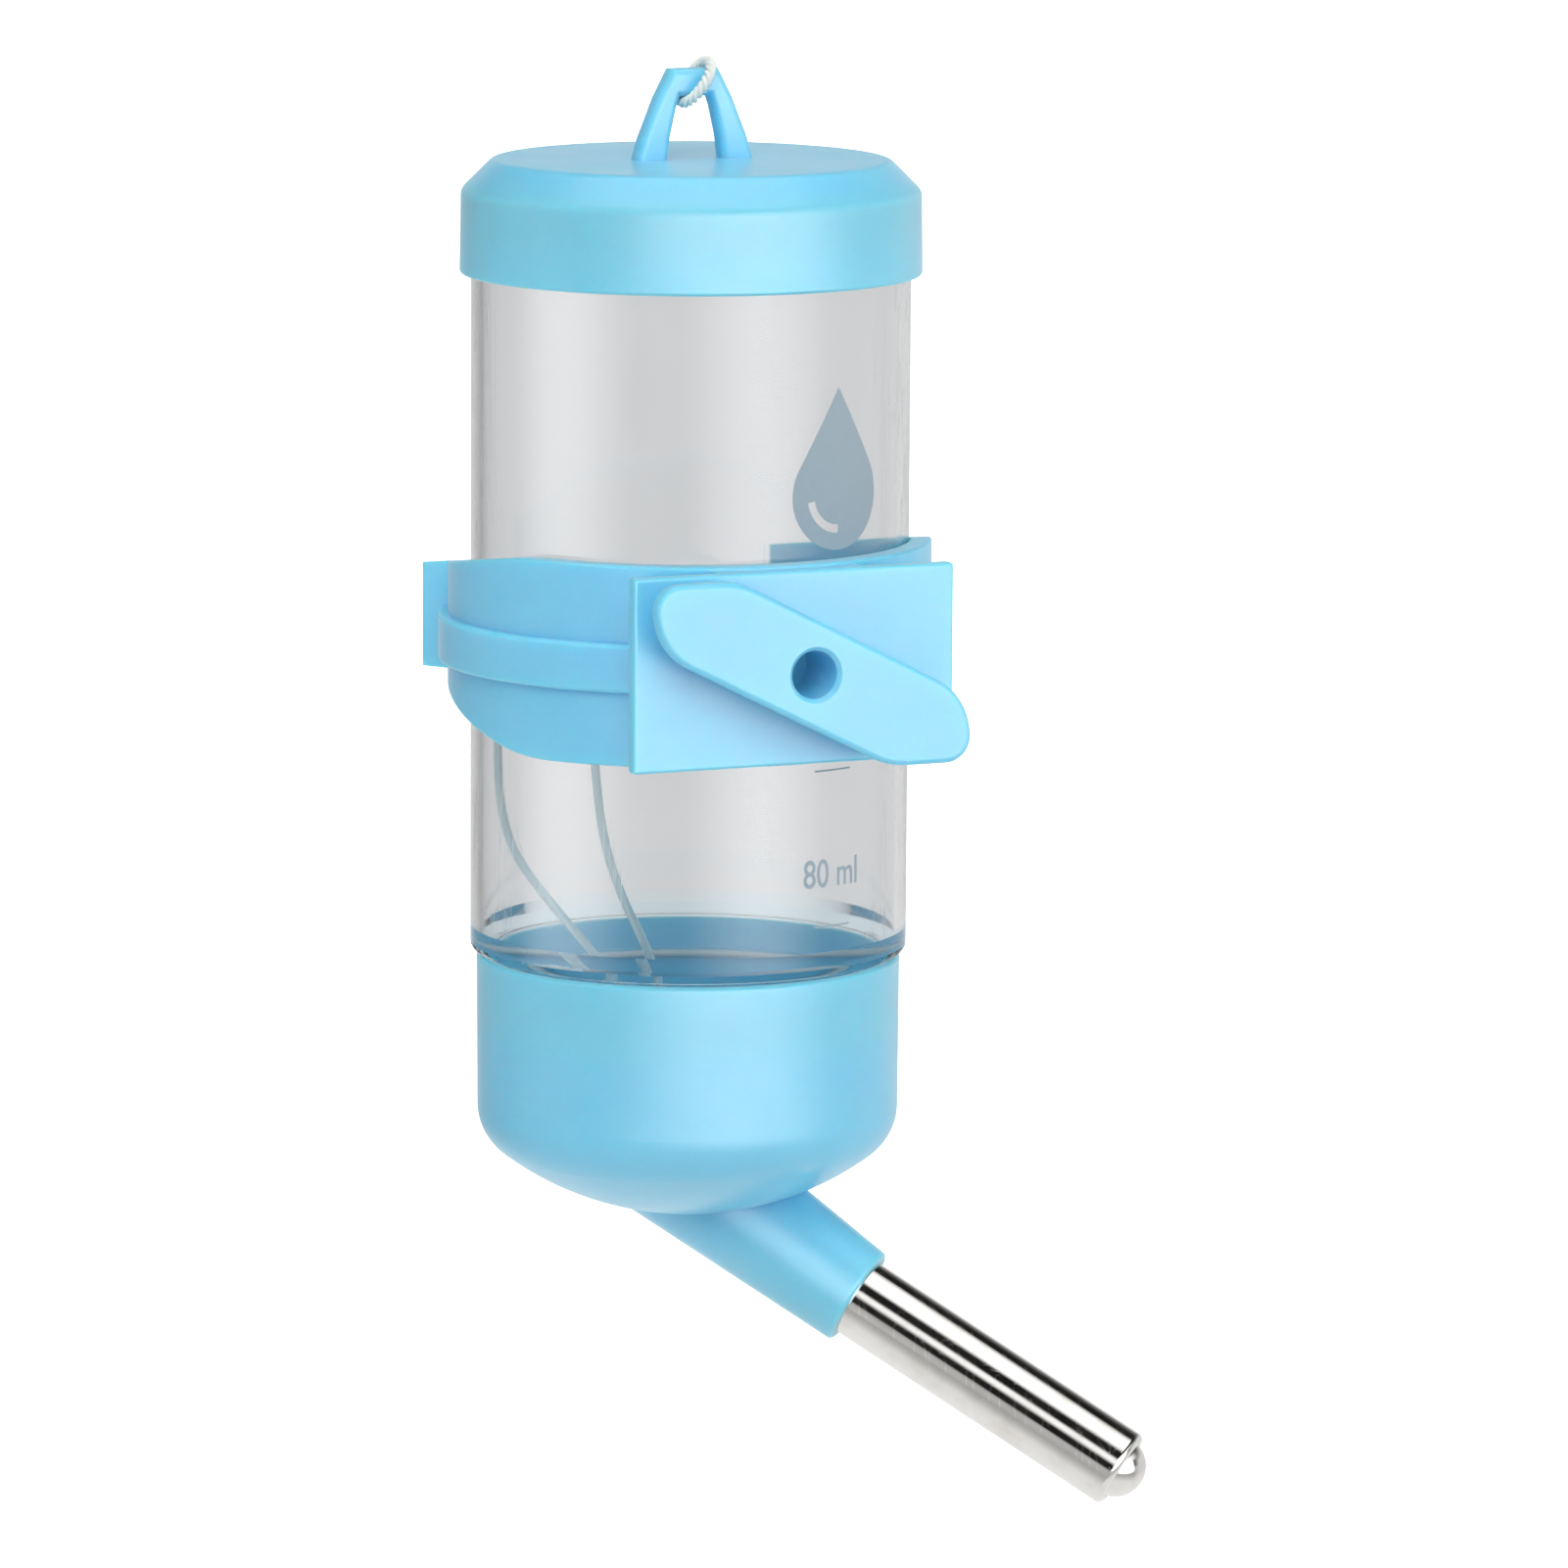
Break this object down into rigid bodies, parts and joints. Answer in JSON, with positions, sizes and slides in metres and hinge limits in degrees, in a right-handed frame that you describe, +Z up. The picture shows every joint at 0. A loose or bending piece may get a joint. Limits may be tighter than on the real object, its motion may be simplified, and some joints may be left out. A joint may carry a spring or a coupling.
{
  "type": "rabbit water bottle",
  "caption": "Hanging small-animal water bottle: clear tube, push-on lid with eye, base cup with steel ball nozzle, and snap clip with a turn bar for cage wires.",
  "frame": {"origin": "centre of the clip plate's front face, which rests against the cage wires", "axes": "+Z up along the bottle's axis, -Y out of the clip plate towards the cage wires, +X to the plate's right seen from the cage"},
  "size_m": [0.0775, 0.0684, 0.1772],
  "materials": {
    "blue_plastic": "gloss, lightly scuffed",
    "clear_plastic": "clear gloss",
    "silicone": "satin, translucent",
    "clear_cord": "clear gloss",
    "nozzle_steel": "polished",
    "ball_steel": "polished",
    "white_cord": "twisted thread"
  },
  "bodies": {
    "clip": {"clip": "blue_plastic"},
    "turn_bar": {"turn_bar": "blue_plastic"},
    "bottle": {"bottle_tube": "clear_plastic", "neck_seal": "silicone", "inner_cord": "clear_cord"},
    "lid": {"lid": "blue_plastic", "lid_gasket": "silicone", "hang_cord": "white_cord"},
    "base": {"base_cup": "blue_plastic", "nozzle_tube": "nozzle_steel"},
    "tip_ball": {"tip_ball": "ball_steel"},
    "inner_ball": {"inner_ball": "ball_steel"}
  },
  "joints": [
    {"name": "bar_turn", "type": "hinge", "parent": "clip", "child": "turn_bar", "pos_m": [0, 0, 0], "axis": [0, -1, 0], "continuous": true},
    {"name": "bottle_turn", "type": "hinge", "parent": "clip", "child": "bottle", "pos_m": [0, 0.032, 0], "axis": [0, 0, 1], "continuous": true},
    {"name": "lid_lift", "type": "slide", "parent": "bottle", "child": "lid", "axis": [0, 0, 1], "range_m": [0, 0.03]},
    {"name": "base_pull", "type": "slide", "parent": "bottle", "child": "base", "axis": [0, 0, -1], "range_m": [0, 0.025]},
    {"name": "tip_ball_push", "type": "slide", "parent": "base", "child": "tip_ball", "axis": [-0.6634, 0.5567, 0.5], "range_m": [0, 0.0015]},
    {"name": "inner_ball_push", "type": "slide", "parent": "base", "child": "inner_ball", "axis": [-0.6634, 0.5567, 0.5], "range_m": [0, 0.0015]}
  ],
  "couplings": [
    {"joint": "inner_ball_push", "follows": "tip_ball_push", "ratio": 1}
  ]
}
